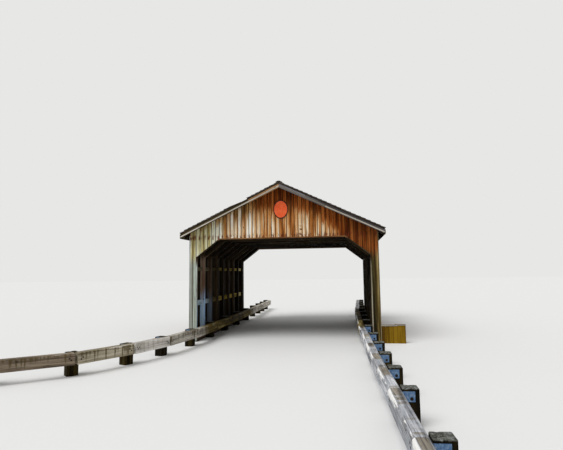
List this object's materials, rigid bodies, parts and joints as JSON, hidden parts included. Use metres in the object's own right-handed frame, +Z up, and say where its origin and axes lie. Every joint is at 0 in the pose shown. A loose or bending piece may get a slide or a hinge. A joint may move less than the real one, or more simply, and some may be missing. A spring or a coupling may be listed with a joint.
{
  "type": "covered timber road bridge with timber guard rails",
  "caption": "Open-ended covered timber bridge with gabled board portals, shingled roof, open wall framing and timber guard rails running through and beyond it.",
  "frame": {"origin": "on the ground at road level, midway between the two portals on the road's centre line", "axes": "+Z up; the road runs along Y and the front portal faces -Y; +X is to the right seen from the front"},
  "size_m": [11.5015, 30.2596, 6.3834],
  "materials": {
    "sill_timber": "rough, dark",
    "frame_timber": "rough sawn, dark",
    "siding_boards": "rough sawn, weathered brown",
    "deck_boards": "rough sawn",
    "shingle_cedar": "weathered split wood",
    "weathered_boards": "weathered grey",
    "gable_boards": "weathered, streaked brown",
    "wing_boards": "weathered yellow brown",
    "rail_timber": "weathered silver grey",
    "guard_post_timber": "dark, rough sawn",
    "sign_paint": "matt orange red",
    "galvanised_steel": "dull zinc"
  },
  "bodies": {
    "root": {"corner_boards": "weathered_boards", "eave_boards": "weathered_boards", "front_gable_field": "gable_boards", "front_gable_haunches": "gable_boards", "front_gable_jambs": "gable_boards", "front_left_rail_beams": "rail_timber", "front_left_rail_posts": "guard_post_timber", "front_portal_trim": "weathered_boards", "front_rake_boards": "weathered_boards", "front_right_rail_beams": "rail_timber", "front_right_rail_posts": "guard_post_timber", "knee_braces": "frame_timber", "left_girt_blocks": "frame_timber", "left_girts": "frame_timber", "left_inner_rail_beams": "rail_timber", "left_inner_rail_posts": "guard_post_timber", "left_rafters": "frame_timber", "left_roof_deck": "deck_boards", "left_shingles": "shingle_cedar", "left_siding": "siding_boards", "left_wall_posts": "frame_timber", "post_angles": "galvanised_steel", "rear_gable_field": "gable_boards", "rear_gable_haunches": "gable_boards", "rear_gable_jambs": "gable_boards", "rear_left_rail_beams": "rail_timber", "rear_left_rail_posts": "guard_post_timber", "rear_portal_trim": "weathered_boards", "rear_rake_boards": "weathered_boards", "rear_right_rail_beams": "rail_timber", "rear_right_rail_posts": "guard_post_timber", "ridge_board": "frame_timber", "ridge_cap": "shingle_cedar", "right_girt_blocks": "frame_timber", "right_girts": "frame_timber", "right_inner_rail_beams": "rail_timber", "right_inner_rail_posts": "guard_post_timber", "right_rafters": "frame_timber", "right_roof_deck": "deck_boards", "right_shingles": "shingle_cedar", "right_siding": "siding_boards", "right_wall_posts": "frame_timber", "sign_plaque": "sign_paint", "sills": "sill_timber", "tie_beams": "frame_timber", "top_plates": "frame_timber", "wing_wall_caps": "wing_boards", "wing_walls": "wing_boards"}
  },
  "joints": []
}
